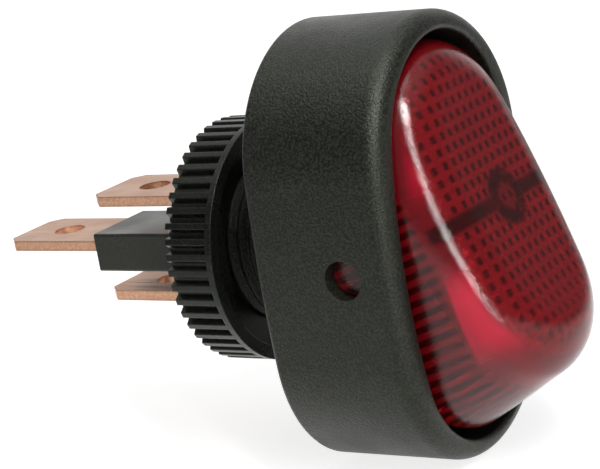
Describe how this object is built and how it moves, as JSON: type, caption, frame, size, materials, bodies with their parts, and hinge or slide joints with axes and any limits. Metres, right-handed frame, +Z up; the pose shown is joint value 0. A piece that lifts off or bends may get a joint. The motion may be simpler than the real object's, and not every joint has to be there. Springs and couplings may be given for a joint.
{
  "type": "panel rocker switch",
  "caption": "Lit rocker switch for a round panel hole: oval black bezel with a tilting clear red rocker, threaded stem, ridged ring nut and copper push-on tabs.",
  "frame": {"origin": "on the stem's axis, in the bezel's back face that lies on the panel", "axes": "+Y runs back along the stem to the tabs, the rocker faces -Y, +Z is up along the oval's length"},
  "size_m": [0.0206, 0.0481, 0.0322],
  "materials": {
    "black_nylon": "fine-grained moulded nylon",
    "base_phenolic": "smooth moulded insulator",
    "copper": "bare rolled copper strip",
    "silver": "silver contact",
    "red_lens": "clear red polycarbonate",
    "white_nylon": "natural nylon",
    "spring_steel": "plated spring wire",
    "bulb_glass": "clear glass",
    "tinned": "tinned wire and plate"
  },
  "bodies": {
    "housing": {"bezel_housing": "black_nylon", "terminal_base": "base_phenolic", "load_terminal": "copper", "supply_terminal": "copper", "ground_terminal": "copper", "fixed_contact": "silver", "lamp_spring_load": "spring_steel", "lamp_spring_ground": "spring_steel"},
    "rocker": {"rocker": "red_lens", "plunger": "white_nylon", "plunger_spring": "spring_steel", "lamp_bulb": "bulb_glass", "lamp_lead_load": "tinned", "lamp_lead_ground": "tinned", "lamp_plate_load": "tinned", "lamp_plate_ground": "tinned"},
    "contact": {"contact_rocker": "copper", "moving_contact": "silver"},
    "nut": {"ring_nut": "black_nylon"}
  },
  "joints": [
    {"name": "rocker_tilt", "type": "hinge", "parent": "housing", "child": "rocker", "pos_m": [0, -0.007, 0], "axis": [1, 0, 0], "range_deg": [0, 42], "deforming": ["lamp_spring_load", "lamp_spring_ground"]},
    {"name": "contact_rock", "type": "hinge", "parent": "housing", "child": "contact", "pos_m": [0, -0.0012, 0.0002], "axis": [1, 0, 0], "range_deg": [-20, 0]},
    {"name": "nut_travel", "type": "slide", "parent": "housing", "child": "nut", "axis": [0, 1, 0], "range_m": [-0.0045, 0.0018]}
  ],
  "couplings": [
    {"joint": "contact_rock", "follows": "rocker_tilt", "ratio": -0.47619}
  ]
}
